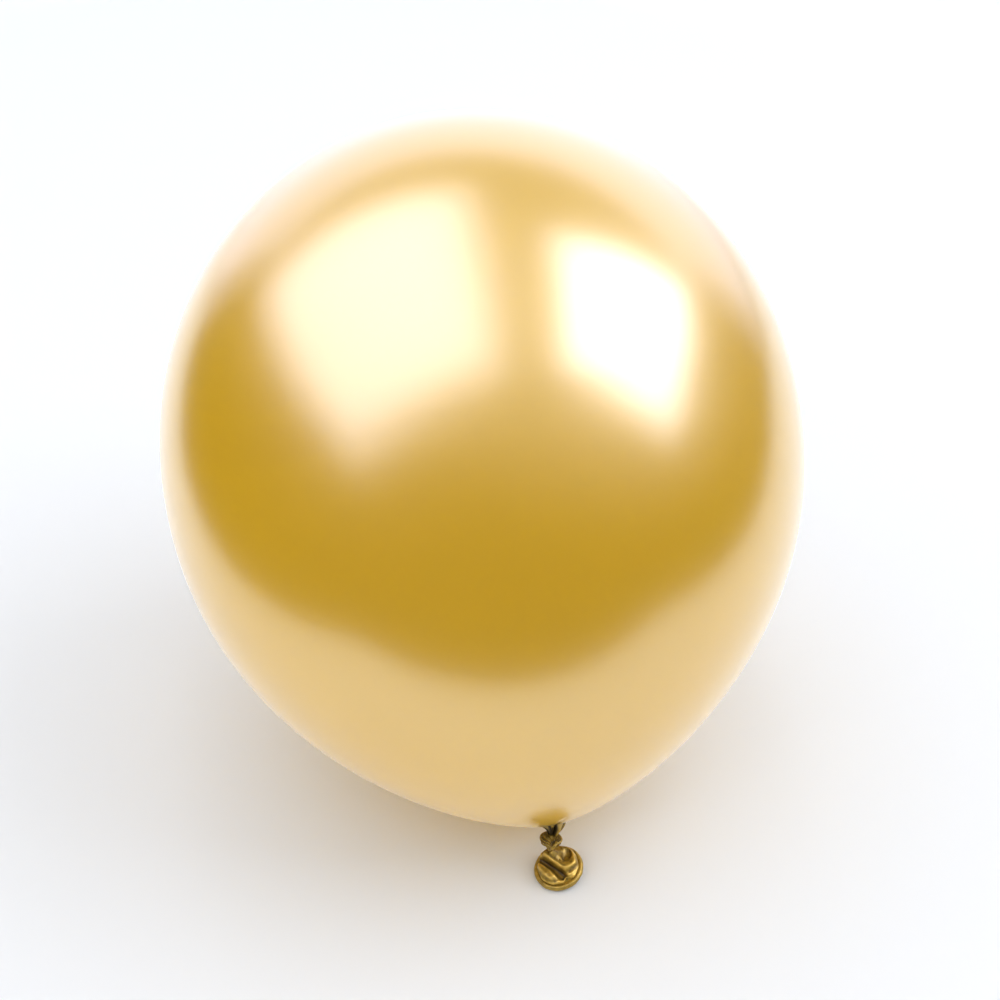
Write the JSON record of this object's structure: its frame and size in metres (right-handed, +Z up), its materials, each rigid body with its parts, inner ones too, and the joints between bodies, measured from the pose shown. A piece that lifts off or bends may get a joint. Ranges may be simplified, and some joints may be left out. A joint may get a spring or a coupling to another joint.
{
  "type": "latex balloon",
  "caption": "Round inflated pearl-finish party balloon with a knotted neck, creased tail and rolled lip, lying on its side with the tail on the floor.",
  "frame": {"origin": "centre of the bounding box's base, on the floor the balloon rests on", "axes": "+Z up, from the floor; the tied neck points towards -Y and down; X is across, and the body is symmetric in X"},
  "size_m": [0.28, 0.2909, 0.2943],
  "materials": {
    "skin": "satin",
    "thick_latex": "satin",
    "lip_bead": "satin"
  },
  "bodies": {
    "balloon": {"envelope": "skin", "crown_spot": "thick_latex", "neck_gather": "thick_latex"},
    "throat": {"neck_throat": "thick_latex"},
    "knot": {"knot_loop": "thick_latex", "knot_strand": "thick_latex"},
    "tail": {"tail_skirt": "thick_latex", "tail_lip": "lip_bead"}
  },
  "joints": [
    {"name": "neck_bend", "type": "hinge", "parent": "balloon", "child": "throat", "pos_m": [0, -0.11016, 0.02358], "axis": [1, 0, 0], "range_deg": [-60, 7], "stiffness_Nm_per_rad": 0.002},
    {"name": "neck_sway", "type": "hinge", "parent": "throat", "child": "knot", "pos_m": [-0.00093, -0.11108, 0.02012], "axis": [0, -0.9659, 0.2588], "range_deg": [-15, 28], "stiffness_Nm_per_rad": 0.002},
    {"name": "tail_nod", "type": "hinge", "parent": "knot", "child": "tail", "pos_m": [-0.00228, -0.11244, 0.01507], "axis": [1, 0, 0], "range_deg": [-18, 18], "stiffness_Nm_per_rad": 0.002}
  ]
}
